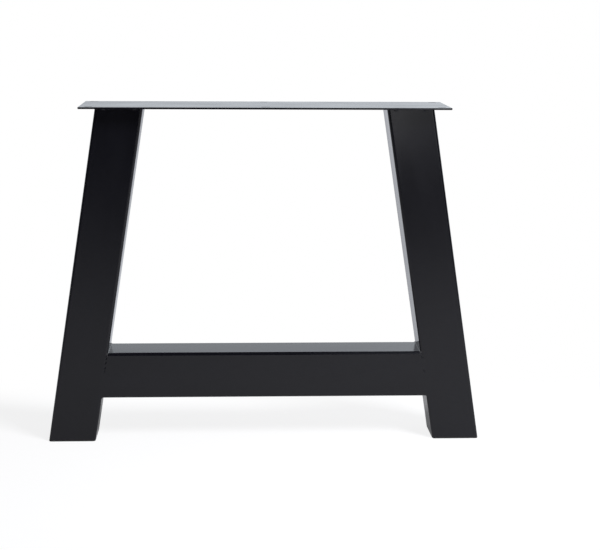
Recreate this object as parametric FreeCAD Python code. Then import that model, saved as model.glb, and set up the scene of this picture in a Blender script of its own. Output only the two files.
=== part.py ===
import FreeCAD
import Part
import math
import os

# A-frame trestle leg for a table, welded from square steel tube under a flat fixing plate.
# Millimetres. +X runs along the leg's width, +Y through its depth, +Z up.
# The origin is on the floor, under the middle of the leg.

# Overall frame
leg_height = 730.0  # floor to the top of the plate
foot_spread = 942.0  # over the outer faces of the legs, at the floor
head_spread = 717.0  # over the outer faces of the legs, under the plate

# Square tube of the legs and the crossbar
tube_side = 100.0
tube_wall = 3.0
tube_corner = 6.0  # outer corner radius
crossbar_underside = 97.0  # floor to the crossbar's lower face

# Fixing plate
plate_length = 780.0
plate_depth = 190.0
plate_thickness = 4.0
plate_corner = 3.0
plate_edge = 0.5  # bevel of the plate's outer arrises
slot_width = 6.5
slot_length = 18.0  # end to end
slot_end_inset = 20.0  # plate end to the centre of an end slot
slot_side_inset = 20.0  # plate long edge to a slot's centre line

# Welds
joint_weld = 2.0  # leg length of the fillet round a crossbar end
groove_fill = 4.5  # depth of weld in the groove beside a leg's rounded corner
stitch_weld = 6.0  # leg length of a stitch under the plate
stitch_length = 18.0
stitch_inset = 10.0  # tube corner to the nearer end of a stitch

# Plastic insert caps
cap_flange = 4.0  # thickness of the flange between tube and floor
cap_edge = 1.0  # bevel of the flange at the floor
cap_seam = 0.4  # bevel of the flange where it meets the tube
cap_insert = 26.0  # length inside the tube
cap_wall = 2.5
cap_fit = 0.25  # clearance between the ribs and the tube
cap_ribs = 4
cap_rib_relief = 5.0  # a rib stops this far short of the insert's corners
cap_rib_height = 1.5  # how far a rib stands out from the insert
cap_rib_width = 1.4
cap_rib_pitch = 5.5
cap_web = 2.0  # thickness of the webs that cross the insert

# Sizes that follow from the ones above
plate_underside = leg_height - plate_thickness
splay = math.atan((foot_spread - head_spread) / 2 / plate_underside)
level_width = tube_side / math.cos(splay)  # of a leg's level section
tube_bore = tube_side - 2 * tube_wall
bore_corner = max(tube_corner - tube_wall, 0.0)
past = tube_side  # how far a cutting body runs past what it cuts

origin = FreeCAD.Vector(0, 0, 0)
x_axis = FreeCAD.Vector(1, 0, 0)
y_axis = FreeCAD.Vector(0, 1, 0)


def box_between(low, high):
    size = [b - a for a, b in zip(low, high)]
    return Part.makeBox(*size, FreeCAD.Vector(*low))


def is_upright(edge):
    return abs(edge.tangentAt(edge.FirstParameter).z) > 0.5


def rounded_bar(width, depth, length, corner):
    # Bar along +Z from the origin, with its four long edges rounded
    bar = box_between((-width / 2, -depth / 2, 0), (width / 2, depth / 2, length))
    if corner > 0:
        bar = bar.makeFillet(corner, [e for e in bar.Edges if is_upright(e)])
    return bar


def leg_bar(side, width, depth, corner, low, high):
    # Solid bar on a leg's sloping axis, cut level at two heights
    bar = rounded_bar(width, depth, plate_underside / math.cos(splay) + 2 * past, corner)
    bar.translate(FreeCAD.Vector(0, 0, -past))
    bar.rotate(origin, y_axis, -side * math.degrees(splay))
    bar.translate(FreeCAD.Vector(side * (foot_spread - level_width) / 2, 0, 0))
    return bar.common(box_between((-foot_spread, -past, low), (foot_spread, past, high)))


def crossbar_bar(width, corner):
    # Solid bar on the crossbar's axis, longer than the crossbar
    bar = rounded_bar(width, width, foot_spread, corner)
    bar.rotate(origin, y_axis, 90)
    bar.translate(FreeCAD.Vector(-foot_spread / 2, 0, crossbar_underside + tube_side / 2))
    return bar


def between_legs(inset):
    # Prism between the legs' inner faces, drawn in by one distance at each end
    low = crossbar_underside - past
    high = crossbar_underside + tube_side + past
    low_x, high_x = [foot_spread / 2 - level_width - z * math.tan(splay) - inset for z in (low, high)]
    corners = [(-low_x, low), (low_x, low), (high_x, high), (-high_x, high), (-low_x, low)]
    outline = Part.makePolygon([FreeCAD.Vector(x, -past, z) for x, z in corners])
    return Part.Face(outline).extrude(2 * past * y_axis)


def slot_cutter(x, y):
    # Upright body of a slot that runs along X
    half_run = (slot_length - slot_width) / 2
    half_width = slot_width / 2
    top = 2 * plate_thickness
    ends = [FreeCAD.Vector(x + run, y, -top) for run in (-half_run, half_run)]
    cutter = Part.makeCylinder(half_width, 2 * top, ends[0])
    run = box_between((x - half_run, y - half_width, -top), (x + half_run, y + half_width, top))
    return cutter.fuse([run, Part.makeCylinder(half_width, 2 * top, ends[1])]).removeSplitter()


def top_plate():
    # Plate with a slot at both ends and in the middle of each long edge
    plate = rounded_bar(plate_length, plate_depth, plate_thickness, plate_corner)
    plate = plate.makeChamfer(plate_edge, [e for e in plate.Edges if not is_upright(e)])
    end_x = plate_length / 2 - slot_end_inset
    side_y = plate_depth / 2 - slot_side_inset
    for x in (-end_x, 0, end_x):
        for y in (-side_y, side_y):
            plate = plate.cut(slot_cutter(x, y))
    plate.translate(FreeCAD.Vector(0, 0, plate_underside))
    return plate


def leg_tube(side):
    outside = leg_bar(side, tube_side, tube_side, tube_corner, cap_flange, plate_underside)
    return outside.cut(leg_bar(side, tube_bore, tube_bore, bore_corner, cap_flange, plate_underside))


def crossbar_tube():
    tube = crossbar_bar(tube_side, tube_corner).cut(crossbar_bar(tube_bore, bore_corner))
    return tube.common(between_legs(0))


def weld_outline(grow, inset):
    # The crossbar's outline let out by one distance, on a plane parallel to the right leg's inner face
    grown = crossbar_bar(tube_side + 2 * grow, tube_corner + grow).common(between_legs(inset))
    end_face = max(grown.Faces, key=lambda face: face.CenterOfMass.x)
    return end_face.OuterWire


def crossbar_weld(side):
    # Fillet round the crossbar's end, which also fills the grooves beside the leg's rounded corners
    # and is ground flush with the frame's front and back
    mid_wall = tube_wall / 2
    toe = weld_outline(joint_weld, 0)
    root = weld_outline(-mid_wall, joint_weld + mid_wall)
    fillet = Part.makeLoft([toe, root], True, True).cut(crossbar_bar(tube_side, tube_corner))
    groove = crossbar_bar(tube_side + 2 * joint_weld, tube_corner + joint_weld)
    groove = groove.common(between_legs(-tube_corner)).cut(between_legs(0))
    groove = groove.cut(leg_bar(1, tube_side, tube_side, tube_corner, 0, plate_underside))
    front = tube_side / 2
    unfilled = front - groove_fill
    groove = groove.cut(box_between((0, -unfilled, 0), (foot_spread, unfilled, leg_height)))
    flush = box_between((0, -front, 0), (foot_spread, front, leg_height))
    weld = fillet.fuse(groove).common(flush).removeSplitter()
    return weld if side > 0 else weld.mirror(origin, x_axis)


def stitch(x, face):
    # Quarter-round bead with tapered ends, in the corner of the plate and a leg's front or back
    half = stitch_length / 2
    crown = half - stitch_weld
    outline = [(-half, 0), (-crown, stitch_weld), (crown, stitch_weld), (half, 0), (-half, 0)]
    profile = Part.Face(Part.makePolygon([FreeCAD.Vector(a, face * b, 0) for a, b in outline]))
    bead = profile.revolve(origin, x_axis, -face * 90)
    bead.translate(FreeCAD.Vector(x, face * tube_side / 2, plate_underside))
    return bead


def plate_weld(side):
    middle = side * (head_spread - level_width) / 2
    offset = level_width / 2 - stitch_inset - stitch_length / 2
    return Part.makeCompound([stitch(middle + end * offset, face) for face in (-1, 1) for end in (-1, 1)])


def foot_cap(side):
    # Flange under the tube's end, with a ribbed hollow insert stiffened by two crossed webs
    flange = leg_bar(side, tube_side, tube_side, tube_corner, 0, cap_flange)
    level_faces = sorted(flange.Faces, key=lambda face: face.CenterOfMass.z)
    flange = flange.makeChamfer(cap_edge, level_faces[0].Edges)
    seam_face = max(flange.Faces, key=lambda face: face.CenterOfMass.z)
    flange = flange.makeChamfer(cap_seam, seam_face.Edges)
    top = cap_flange + cap_insert
    rib_reach = tube_bore - 2 * cap_fit
    skirt = rib_reach - 2 * cap_rib_height
    rib_run = skirt - 2 * cap_rib_relief
    hollow = skirt - 2 * cap_wall
    insert = [leg_bar(side, skirt, skirt, bore_corner, cap_flange, top)]
    for i in range(cap_ribs):
        rib_top = cap_flange + (i + 1) * cap_rib_pitch
        for width, depth in ((rib_reach, rib_run), (rib_run, rib_reach)):
            insert.append(leg_bar(side, width, depth, 0, rib_top - cap_rib_width, rib_top))
    pocket = leg_bar(side, hollow, hollow, 0, cap_flange, top)
    pocket = pocket.cut(leg_bar(side, tube_side, cap_web, 0, cap_flange, top))
    pocket = pocket.cut(leg_bar(side, cap_web, tube_side, 0, cap_flange, top))
    return flange.fuse(insert).cut(pocket).removeSplitter()


parts = {"top_plate": top_plate(), "crossbar_tube": crossbar_tube()}
for name, side in (("left", -1), ("right", 1)):
    parts[name + "_leg_tube"] = leg_tube(side)
    parts[name + "_crossbar_weld"] = crossbar_weld(side)
    parts[name + "_plate_weld"] = plate_weld(side)
    parts[name + "_foot_cap"] = foot_cap(side)

os.makedirs("parts", exist_ok=True)
for name, shape in parts.items():
    shape.exportStep(os.path.join("parts", name + ".step"))
    state = "valid" if shape.isValid() else "broken"
    print(name, len(shape.Solids), "solids", round(shape.Volume), "mm3", state)
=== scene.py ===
import bpy
import bmesh
import math
from mathutils import Matrix, Vector


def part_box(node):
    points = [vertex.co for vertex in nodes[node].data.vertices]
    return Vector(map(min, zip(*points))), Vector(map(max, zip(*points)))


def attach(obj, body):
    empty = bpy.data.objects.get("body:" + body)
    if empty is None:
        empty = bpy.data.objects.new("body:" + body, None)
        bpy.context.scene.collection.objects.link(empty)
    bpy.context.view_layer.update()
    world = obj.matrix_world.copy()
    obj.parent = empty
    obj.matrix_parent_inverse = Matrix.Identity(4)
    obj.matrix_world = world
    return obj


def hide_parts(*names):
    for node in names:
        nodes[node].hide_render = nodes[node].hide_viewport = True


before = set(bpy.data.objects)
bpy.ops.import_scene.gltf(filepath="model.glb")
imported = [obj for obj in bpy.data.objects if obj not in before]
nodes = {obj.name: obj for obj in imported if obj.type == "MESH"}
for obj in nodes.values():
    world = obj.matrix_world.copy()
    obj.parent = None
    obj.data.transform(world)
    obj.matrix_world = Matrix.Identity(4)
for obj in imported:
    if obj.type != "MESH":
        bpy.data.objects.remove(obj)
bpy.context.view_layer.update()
scene = bpy.context.scene
print("frame loaded,", len(nodes), "nodes")


def addObject(name, data):
    made = bpy.data.objects.new(name, data)
    scene.collection.objects.link(made)
    return made


def smoothStep(low, high, value):
    share = min(max((value - low) / (high - low), 0.0), 1.0)
    return share * share * (3 - 2 * share)


# small helpers for node trees
def newTree(holder):
    holder.use_nodes = True
    holder.node_tree.nodes.clear()
    return holder.node_tree


def addNode(tree, kind, inputs=None, **settings):
    made = tree.nodes.new("ShaderNode" + kind)
    for key, value in settings.items():
        setattr(made, key, value)
    for key, value in (inputs or {}).items():
        if isinstance(value, bpy.types.NodeSocket):
            tree.links.new(value, made.inputs[key])
        else:
            made.inputs[key].default_value = value
    return made


def mathNode(tree, operation, a, b, clamp=False):
    return addNode(tree, "Math", {0: a, 1: b}, operation=operation, use_clamp=clamp).outputs[0]


def mixNode(tree, kind, share, a, b):
    return addNode(tree, "Mix", {"Factor": share, "A": a, "B": b}, data_type=kind).outputs["Result"]


def noiseNode(tree, vector, scale, detail, roughness):
    inputs = {"Vector": vector, "Scale": scale, "Detail": detail, "Roughness": roughness}
    return addNode(tree, "TexNoise", inputs).outputs["Fac"]


def spread(tree, value, low, high, fromLow=0.3, fromHigh=0.7, smooth=False):
    # noise stays near its middle, so without other limits only that part is used
    inputs = {"Value": value, "From Min": fromLow, "From Max": fromHigh, "To Min": low, "To Max": high}
    kind = "SMOOTHSTEP" if smooth else "LINEAR"
    return addNode(tree, "MapRange", inputs, interpolation_type=kind).outputs["Result"]


def ramp(tree, value, run):
    return spread(tree, value, 0, 1, *run, smooth=True)


def bumpNodes(tree, layers):
    # one bump over another, each with its pattern and its height
    below = {}
    for pattern, height in layers:
        bump = addNode(tree, "Bump", {"Height": pattern, "Distance": height, **below})
        below = {"Normal": bump.outputs[0]}
    return bump.outputs[0]


# satin black powder coat on steel; a noise has a scale per metre, a detail and a roughness
coat = {
    "dark": (0.0036, 0.0036, 0.0054, 1),
    "light": (0.0054, 0.0054, 0.0078, 1),
    "roughness": (0.15, 0.21),
    "weldGloss": -0.03,          # change of roughness on the welds
    "ior": 1.5,
    "specular": 0.28,
    "blotch": (14.0, 4.0, 0.6),  # cloudy changes of gloss
    "peel": (620.0, 1.5, 0.4),   # orange peel, about 1.6 mm from crest to crest
    "peelHeight": 0.0000035,
    "wave": (9.0, 1.0, 0.4),     # slow waves of the rolled steel under the coat
    "waveHeight": 0.00006,
    "sunk": 0.0006,              # a leg's front and back are shaded as if sunk this much at mid-width
    "nibScale": 75.0,            # dust nibs caught in the coat
    "nibSize": 0.045,
    "nibHeight": 0.00002,
    "alongTube": 0.18,           # the pattern is drawn out along a tube by this scale
    "alongPlate": 0.4,           # and along the plate by this
}


def coatMaterial(name, tilt=0.0, stretch=(1, 1, 1), glossShift=0.0, middle=None):
    # tilt turns the pattern to a tube's own axis, stretch draws it out along that axis,
    # and middle is where a leg's axis lies across the turned pattern
    material = bpy.data.materials.new(name)
    tree = newTree(material)
    place = addNode(tree, "TexCoord").outputs["Object"]
    turned = addNode(tree, "Mapping", {"Vector": place, "Rotation": (0, tilt, 0)}).outputs["Vector"]
    drawn = addNode(tree, "Mapping", {"Vector": turned, "Scale": stretch}).outputs["Vector"]
    blotch = noiseNode(tree, drawn, *coat["blotch"])
    peel = noiseNode(tree, turned, *coat["peel"])
    wave = noiseNode(tree, drawn, *coat["wave"])
    cells = addNode(tree, "TexVoronoi", {"Vector": turned, "Scale": coat["nibScale"]}).outputs["Distance"]
    nibs = spread(tree, cells, 1, 0, 0, coat["nibSize"])

    layers = [(wave, coat["waveHeight"]), (peel, coat["peelHeight"]), (nibs, coat["nibHeight"])]
    if middle is not None:
        offset = mathNode(tree, "SUBTRACT", addNode(tree, "SeparateXYZ", {0: turned}).outputs["X"], middle)
        offset = mathNode(tree, "DIVIDE", offset, tubeSide / 2)
        hollow = mathNode(tree, "MULTIPLY", offset, offset)
        layers.insert(0, (hollow, coat["sunk"]))
    gloss = [value + glossShift for value in coat["roughness"]]
    paleness = spread(tree, blotch, 0, 1)
    shader = addNode(tree, "BsdfPrincipled", {
        "Base Color": mixNode(tree, "RGBA", paleness, coat["dark"], coat["light"]),
        "Roughness": spread(tree, blotch, *gloss),
        "IOR": coat["ior"],
        "Specular IOR Level": coat["specular"],
        "Normal": bumpNodes(tree, layers),
    })
    addNode(tree, "OutputMaterial", {"Surface": shader.outputs[0]})
    return material


# black polyethylene of the insert caps, with the fine grain of a spark-eroded mould
capPlastic = {
    "dark": (0.0085, 0.0085, 0.0088, 1),
    "light": (0.0135, 0.0135, 0.0135, 1),
    "roughness": (0.42, 0.56),
    "specular": 0.4,
    "cloud": (40.0, 3.0, 0.5),
    "grain": (1500.0, 2.0, 0.6),
    "grainHeight": 0.00003,
}


def capMaterial(name):
    material = bpy.data.materials.new(name)
    tree = newTree(material)
    place = addNode(tree, "TexCoord").outputs["Object"]
    cloud = noiseNode(tree, place, *capPlastic["cloud"])
    grain = noiseNode(tree, place, *capPlastic["grain"])
    paleness = spread(tree, cloud, 0, 1)
    shader = addNode(tree, "BsdfPrincipled", {
        "Base Color": mixNode(tree, "RGBA", paleness, capPlastic["dark"], capPlastic["light"]),
        "Roughness": spread(tree, cloud, *capPlastic["roughness"]),
        "Specular IOR Level": capPlastic["specular"],
        "Normal": bumpNodes(tree, [(grain, capPlastic["grainHeight"])]),
    })
    addNode(tree, "OutputMaterial", {"Surface": shader.outputs[0]})
    return material


# the legs' slope, read from the pieces' own boxes
legLow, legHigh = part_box("right_leg_tube")
barLow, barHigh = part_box("crossbar_tube")
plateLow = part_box("top_plate")[0]
tubeSide = barHigh.z - barLow.z
legWidth = legHigh.x - legLow.x
legHeight = plateLow.z - legLow.z
# the box is as wide as the run of the leg's axis and the tube's level width together
splay = math.acos(tubeSide / math.hypot(legWidth, legHeight)) - math.atan2(legHeight, legWidth)
legMiddle = legHigh.x * math.cos(splay) + legLow.z * math.sin(splay) - tubeSide / 2
print("legs lean", round(math.degrees(splay), 2), "degrees")

upLeg = (1, 1, coat["alongTube"])
capBlack = capMaterial("capPlastic")
finishes = {
    "top_plate": coatMaterial("plateCoat", stretch=(coat["alongPlate"], 1, 1)),
    "left_leg_tube": coatMaterial("leftLegCoat", -splay, upLeg, middle=-legMiddle),
    "right_leg_tube": coatMaterial("rightLegCoat", splay, upLeg, middle=legMiddle),
    "crossbar_tube": coatMaterial("crossbarCoat", stretch=(coat["alongTube"], 1, 1)),
    "left_foot_cap": capBlack,
    "right_foot_cap": capBlack,
}
for name, material in finishes.items():
    nodes[name].material_slots[0].material = material
weldCoat = coatMaterial("weldCoat", glossShift=coat["weldGloss"])
print("coats set")


# welds: the CAD solids remeshed finely, then given the ripples of a hand-held torch
def denseCopy(node, name, voxel, mergeGap=0.000001):
    work = bmesh.new()
    work.from_mesh(nodes[node].data)
    bmesh.ops.remove_doubles(work, verts=work.verts, dist=mergeGap)
    mesh = bpy.data.meshes.new(name + "Work")
    work.to_mesh(mesh)
    work.free()
    piece = addObject(name, mesh)
    remesh = piece.modifiers.new("fine", "REMESH")
    remesh.mode = "VOXEL"
    remesh.voxel_size = voxel
    bpy.context.view_layer.update()
    made = bpy.data.meshes.new_from_object(piece.evaluated_get(bpy.context.evaluated_depsgraph_get()))
    piece.modifiers.clear()
    piece.data = made
    made.name = name
    bpy.data.meshes.remove(mesh)
    return piece


def finishWeld(piece, node):
    piece.data.materials.clear()
    piece.data.materials.append(weldCoat)
    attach(piece, "root")
    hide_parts(node)


# the torch moves on faster here and slower there: size in pitches, rate and start of each sway
torchSways = [(0.32, 0.83, 0.0), (0.21, 2.1, 1.3)]


def ripple(bead, along, out, high):
    # rounded ripples with sharp valleys between them, bowed and full midway over the bead, none at its toes
    body = min(4 * out * high / bead["leg"] ** 2, 1.0)
    steps = along / bead["pitch"]
    uneven = sum(size * math.sin(steps * rate + start) for size, rate, start in torchSways)
    part = (steps + uneven + bead["bow"] * body) % 1.0
    hump = 1 - (2 * part - 1) ** 2
    return body * bead["ripple"] * (hump - bead["sink"])


jointBead = {
    "voxel": 0.0005,
    "leg": 0.002,             # leg length of the fillet
    "soak": 0.0003,           # how far the bead soaks into the tubes, so that no hairline shows
    "feather": (0.002, 2.0),  # from this depth into the leg the flush fill is drawn out to a thin edge
    "recess": 0.00001,        # the ground faces lie this far under the tubes' faces
    "pitch": 0.0024,          # from ripple to ripple
    "ripple": 0.0004,
    "sink": 0.3,              # share of a ripple that lies under the even fillet
    "bow": 0.7,               # the ripples' arc, in pitches
    "top": 0.35,              # share of the fillet left on the crossbar
    "underside": {-1: 1.0, 1: 0.4},  # and under it, by side
    "sharpAngle": 38,         # edges bent by more degrees look sharp
    # lumps at the bead's ends: side, face, out from the leg, height, radius, lift
    "lumps": [
        (-1, -1, 0.0004, 0.1935, 0.0042, 0.0016),
        (1, -1, 0.0010, 0.1940, 0.0040, 0.0015),
        (-1, 1, 0.0008, 0.1945, 0.0034, 0.0012),
        (1, 1, 0.0004, 0.1940, 0.0036, 0.0014),
    ],
    "lumpDraw": 1.6,          # a lump is drawn out this much along the bead
    "lumpRise": (0.3, 0.95),  # its way out from the leg and up
    # flats ground on the bead's upper ends: side, face, into the leg, height, slope across, slope up
    "flats": [
        (-1, -1, 0.0018, 0.1890, 0.234, 0.186),
        (1, -1, 0.0030, 0.1915, -0.06, 0.186),
    ],
    "pressed": 0.05,          # share of its depth that a thin edge keeps under a flat
    # nicks left by the grinder: side, face, into the leg, height, half width, half height, depth
    "nicks": [
        (-1, -1, 0.0036, 0.1908, 0.0017, 0.0028, 0.0013),
        (-1, -1, 0.0024, 0.1848, 0.0020, 0.0021, 0.0013),
        (-1, -1, 0.0028, 0.1757, 0.0026, 0.0031, 0.0018),
        (-1, -1, 0.0026, 0.1643, 0.0022, 0.0025, 0.0013),
        (-1, -1, 0.0027, 0.1570, 0.0020, 0.0044, 0.0008),
        (1, -1, 0.0026, 0.1926, 0.0022, 0.0021, 0.0014),
        (1, -1, 0.0028, 0.1850, 0.0024, 0.0028, 0.0015),
        (1, -1, 0.0028, 0.1535, 0.0021, 0.0056, 0.0010),
        (-1, 1, 0.0026, 0.1800, 0.0024, 0.0026, 0.0014),
        (1, 1, 0.0025, 0.1730, 0.0022, 0.0034, 0.0012),
    ],
    "nickReach": 0.002,       # only what lies this close under the ground face is nicked
    "nickLean": 0.35,         # how far a nick leans sideways
    "nickRamp": 1.2,          # how it deepens upward
    "nickWall": (0.45, 1.0),  # where it rises again at its top
    "nickGain": 1.5,          # brings its deepest point to about the full depth
}


def nickDepth(sideways, upward):
    # a gouge that deepens slowly upward and leans a little, with a steeper wall at its top
    sideways = sideways + jointBead["nickLean"] * upward
    if abs(sideways) >= 1 or abs(upward) >= 1:
        return 0.0
    deepening = ((upward + 1) / 2) ** jointBead["nickRamp"]
    wall = 1 - smoothStep(*jointBead["nickWall"], upward)
    return deepening * wall * jointBead["nickGain"] * (1 - sideways ** 2) ** 2


def filletMove(side, out, place, faceNormal):
    # ripples on the fillet, and the part of it that was ground away
    high = max(place.z - barHigh.z, barLow.z - place.z)
    if out <= 0 or high <= 0:
        return Vector()
    above = place.z > barLow.z
    up = Vector((0, 0, 1 if above else -1))
    kept = jointBead["top"] if above else jointBead["underside"][side]
    ridge = ripple(jointBead, place.y, out, high) * (faceNormal + up).normalized()
    return ridge + (kept - 1) * (out * faceNormal + high * up)


def crossbarWeld(side, name, node):
    piece = denseCopy(node, name, jointBead["voxel"])
    faceNormal = Vector((-side * math.cos(splay), 0, -math.sin(splay)))  # out of the leg's inner face
    corner = Vector((side * barHigh.x, 0, barLow.z))  # the crossbar's lower corner, where it meets the leg
    face = tubeSide / 2 - jointBead["recess"]
    edge, draw = jointBead["feather"]
    riseOut, riseUp = jointBead["lumpRise"]
    rise = Vector((riseOut * faceNormal.x, 0, riseUp))
    lumps, flats, nicks = [[mark[1:] for mark in jointBead[kind] if mark[0] == side]
                           for kind in ("lumps", "flats", "nicks")]
    normals = [vert.normal.copy() for vert in piece.data.vertices]
    for vert, normal in zip(piece.data.vertices, normals):
        out = (vert.co - corner).dot(faceNormal)
        move = jointBead["soak"] * normal + filletMove(side, out, vert.co, faceNormal)
        for lumpFace, lumpOut, height, radius, lift in lumps:
            behind = (vert.co.y * lumpFace - face) / jointBead["lumpDraw"]
            away = Vector((out - lumpOut, behind, vert.co.z - height)).length / radius
            if away < 1:
                move += lift * (1 - away ** 2) ** 2 * rise
        vert.co += move
        into = -(vert.co - corner).dot(faceNormal)
        if into > edge:
            vert.co -= (draw - 1) * (into - edge) * faceNormal
            into += (draw - 1) * (into - edge)
        vert.co.y = min(max(vert.co.y, -face), face)
        for flatFace, flatInto, height, slopeAcross, slopeUp in flats:
            cut = slopeAcross * (flatInto - into) + slopeUp * (vert.co.z - height)
            if cut > 0:
                deep = face - vert.co.y * flatFace
                vert.co.y = flatFace * (face - max(deep, cut + jointBead["pressed"] * deep))
        for nickFace, nickInto, height, halfWidth, halfHeight, depth in nicks:
            if vert.co.y * nickFace > face - jointBead["nickReach"]:
                share = nickDepth((into - nickInto) / halfWidth, (vert.co.z - height) / halfHeight)
                vert.co.y -= nickFace * depth * share
    piece.data.shade_smooth()
    piece.data.set_sharp_from_angle(angle=math.radians(jointBead["sharpAngle"]))
    finishWeld(piece, node)


stitchBead = {
    "voxel": 0.00035,
    "leg": 0.006,      # leg length of a stitch
    "pitch": 0.0027,
    "ripple": 0.0006,
    "sink": 0.8,
    "bow": 0.6,
}


def plateWeld(name, node):
    piece = denseCopy(node, name, stitchBead["voxel"])
    for vert in piece.data.vertices:
        out = abs(vert.co.y) - tubeSide / 2
        down = plateLow.z - vert.co.z
        if out > 0 and down > 0:
            outward = Vector((0, math.copysign(out, vert.co.y), -down)) / math.hypot(out, down)
            vert.co += ripple(stitchBead, vert.co.x, out, down) * outward
    piece.data.shade_smooth()
    finishWeld(piece, node)


crossbarWeld(-1, "leftCrossbarWeld", "left_crossbar_weld")
crossbarWeld(1, "rightCrossbarWeld", "right_crossbar_weld")
plateWeld("leftPlateWeld", "left_plate_weld")
plateWeld("rightPlateWeld", "right_plate_weld")
print("welds rippled")

# camera, where the photograph was taken from; degrees, and millimetres for lens and sensor
view = {
    "place": (-0.08373, -3.211, 0.9537),
    "yaw": -2.873,
    "pitch": 10.483,
    "roll": -0.362,
    "lens": 89.7,
    "sensor": 36,
    "clipEnd": 100,
}
cameraData = bpy.data.cameras.new("camera")
cameraData.sensor_width = view["sensor"]
cameraData.lens = view["lens"]
cameraData.clip_end = view["clipEnd"]
camera = addObject("camera", cameraData)
turn = (Matrix.Rotation(math.radians(view["yaw"]), 4, "Z")
        @ Matrix.Rotation(math.radians(90 - view["pitch"]), 4, "X")
        @ Matrix.Rotation(math.radians(-view["roll"]), 4, "Z"))
camera.matrix_world = Matrix.Translation(view["place"]) @ turn
scene.camera = camera
print("camera set")

# white floor that keeps the leg's shadow
floorLook = {
    "size": 30.0,
    "pale": 0.80,
    "paintedShadeRun": (-4.8, 0.2),     # painted shade: towards the camera the paper's colour darkens, as the light falls off in the dim studio in front
    "paintedShadeEnd": 0.25,
    "skew": 0.8,                 # at the right this painted shade begins this much nearer to the leg, per metre
    "nearWhite": 0.71,           # share of plain white near the leg, where its shadow falls
    "nearGlow": 1.075,
    "whiteOut": (0.75, 1.4),     # beyond these distances the floor is plain white
    "backOut": (0.18, 0.46),     # and behind the leg beyond these
    "mirrorOut": (0.55, 1.0),    # the same as seen mirrored in the coat
    "frontFade": (-0.5, 0.1),    # mirrored, the floor is white only behind the leg
    "mirrorGlow": (0.92, 0.75),  # and a little dimmer at the right than at the left
    "mirrorRun": (-0.25, 0.10),
    "mirrorTint": (0.95, 0.975, 1.045, 1),
    "shade": 0.65,               # painted shadow: mirrored, the paper close behind the leg is darker
    "shadeRun": (-0.06, 0.02),
}


def floorMaterial(name):
    material = bpy.data.materials.new(name)
    tree = newTree(material)
    ray = addNode(tree, "LightPath").outputs
    glossy = ray["Is Glossy Ray"]
    place = addNode(tree, "TexCoord").outputs["Object"]
    distance = addNode(tree, "VectorMath", {0: place}, operation="LENGTH").outputs["Value"]
    spot = addNode(tree, "SeparateXYZ", {0: place}).outputs
    far = mathNode(tree, "MAXIMUM", ramp(tree, distance, floorLook["whiteOut"]),
                   ramp(tree, spot["Y"], floorLook["backOut"]))

    # how much of the floor is plain white, as the camera sees it and as the coat mirrors it
    direct = mathNode(tree, "ADD", ray["Is Camera Ray"], ray["Is Transmission Ray"], clamp=True)
    direct = mathNode(tree, "MULTIPLY", direct, spread(tree, far, floorLook["nearWhite"], 1, 0, 1))
    mirrored = mathNode(tree, "MULTIPLY", glossy, ramp(tree, spot["Y"], floorLook["frontFade"]))
    mirrored = mathNode(tree, "MULTIPLY", mirrored, ramp(tree, distance, floorLook["mirrorOut"]))
    white = mathNode(tree, "ADD", direct, mirrored, clamp=True)
    plain = spread(tree, far, floorLook["nearGlow"], 1, 0, 1)
    dimmed = spread(tree, spot["X"], *floorLook["mirrorGlow"], *floorLook["mirrorRun"])
    glow = addNode(tree, "Emission", {
        "Color": mixNode(tree, "RGBA", glossy, (1, 1, 1, 1), floorLook["mirrorTint"]),
        "Strength": mixNode(tree, "FLOAT", glossy, plain, dimmed),
    })

    # the paper itself, which takes the shadow; its colour carries painted shade towards the camera and a
    # painted shadow mirrored close behind the leg
    # painted shade: the paper's colour darkens towards the camera, sooner at the right
    nearer = spread(tree, spot["X"], 0, -floorLook["skew"], 0, 1)
    pale = spread(tree, mathNode(tree, "ADD", spot["Y"], nearer), floorLook["paintedShadeEnd"], floorLook["pale"],
                  *floorLook["paintedShadeRun"], smooth=True)
    # painted shadow, only where the coat mirrors the paper close behind the leg
    shaded = mathNode(tree, "MULTIPLY", glossy, ramp(tree, spot["Y"], floorLook["shadeRun"]))
    pale = mathNode(tree, "MULTIPLY", pale, spread(tree, shaded, 1, floorLook["shade"], 0, 1))
    grey = addNode(tree, "CombineColor", {0: pale, 1: pale, 2: pale}).outputs[0]
    paper = addNode(tree, "BsdfDiffuse", {"Color": grey})
    lit = addNode(tree, "MixShader", {0: white, 1: paper.outputs[0], 2: glow.outputs[0]})

    # seen from below, the floor lets the view through
    below = addNode(tree, "NewGeometry").outputs["Backfacing"]
    clear = addNode(tree, "BsdfTransparent")
    oneSided = addNode(tree, "MixShader", {0: below, 1: lit.outputs[0], 2: clear.outputs[0]})
    addNode(tree, "OutputMaterial", {"Surface": oneSided.outputs[0]})
    return material


floorMesh = bmesh.new()
bmesh.ops.create_grid(floorMesh, x_segments=1, y_segments=1, size=floorLook["size"])
floorData = bpy.data.meshes.new("floor")
floorMesh.to_mesh(floorData)
floorMesh.free()
floorData.materials.append(floorMaterial("floorPaper"))
floor = addObject("floor", floorData)
print("floor laid")

# room: white paper behind the leg, a dark studio in front and overhead, and a pale wall far off at the right
room = {
    "ambient": 0.12,
    "paper": (0.91, 1.03),     # from left to right
    "paperRun": (-0.12, 0.15),
    "paperTint": (0.91, 0.965, 1.03, 1),
    "paperTop": (0.18, 0.50),  # the paper ends at these heights, as sines
    "paperSide": (0.0, 0.35),
    "dark": 0.02,
    "wall": 1.7,
    "wallEdge": (0.07, 0.25),
    "wallFoot": (0.15, 0.45),
}


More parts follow.
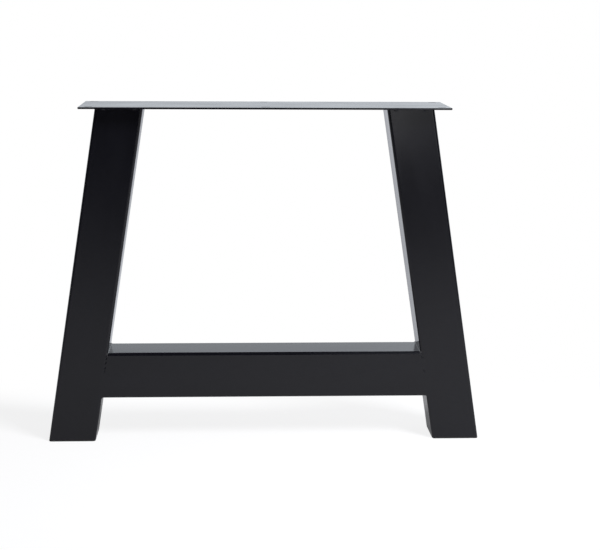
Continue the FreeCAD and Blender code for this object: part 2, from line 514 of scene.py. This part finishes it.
def studioWorld(name):
    world = bpy.data.worlds.new(name)
    tree = newTree(world)
    ray = addNode(tree, "LightPath").outputs
    glossy = ray["Is Glossy Ray"]
    way = addNode(tree, "SeparateXYZ", {0: addNode(tree, "TexCoord").outputs["Generated"]}).outputs
    low = spread(tree, way["Z"], 1, 0, *room["paperTop"], smooth=True)
    paper = mathNode(tree, "MULTIPLY", low, ramp(tree, way["Y"], room["paperSide"]))
    paper = mathNode(tree, "MULTIPLY", paper, spread(tree, way["X"], *room["paper"], *room["paperRun"]))
    high = spread(tree, way["Z"], 0, room["wall"], *room["wallFoot"], smooth=True)
    wall = mathNode(tree, "MULTIPLY", ramp(tree, way["X"], room["wallEdge"]), high)
    mirrored = mathNode(tree, "MAXIMUM", mathNode(tree, "ADD", paper, wall), room["dark"])
    unseen = mixNode(tree, "FLOAT", glossy, room["ambient"], mirrored)
    sky = addNode(tree, "Background", {
        "Color": mixNode(tree, "RGBA", glossy, (1, 1, 1, 1), room["paperTint"]),
        "Strength": mixNode(tree, "FLOAT", ray["Is Camera Ray"], unseen, 1),
    })
    addNode(tree, "OutputWorld", {"Surface": sky.outputs[0]})
    return world


scene.world = studioWorld("studio")

# lamps: a soft box at the right, a large one overhead, and a lit board low at the front right
lampColor = (0.955, 0.96, 1.0)
lamps = {
    "keyLamp": {"place": (1.9, -2.05, 2.5), "target": (0.2, 0, 0.1), "size": (1.2, 1.2), "watts": 120,
                "mirrored": False, "shadow": True},
    "topLamp": {"place": (1.1, -0.2, 3.1), "target": (1.1, -0.2, 0), "size": (3.0, 3.0), "watts": 69,
                "mirrored": False, "shadow": False},
    "frontBoard": {"place": (1.6, -5.0, 0.85), "target": (0.3, 0, 0.85), "size": (1.7, 1.3), "watts": 16.5,
                   "mirrored": True, "shadow": True},
}
for name, lamp in lamps.items():
    data = bpy.data.lights.new(name, "AREA")
    data.shape = "RECTANGLE"
    data.size, data.size_y = lamp["size"]
    data.energy = lamp["watts"]
    data.color = lampColor
    data.use_shadow = lamp["shadow"]
    made = addObject(name, data)
    made.location = lamp["place"]
    aim = Vector(lamp["target"]) - Vector(lamp["place"])
    made.rotation_euler = aim.to_track_quat("-Z", "Y").to_euler()
    made.visible_glossy = lamp["mirrored"]
scene.view_settings.view_transform = "Standard"
print("room lit")
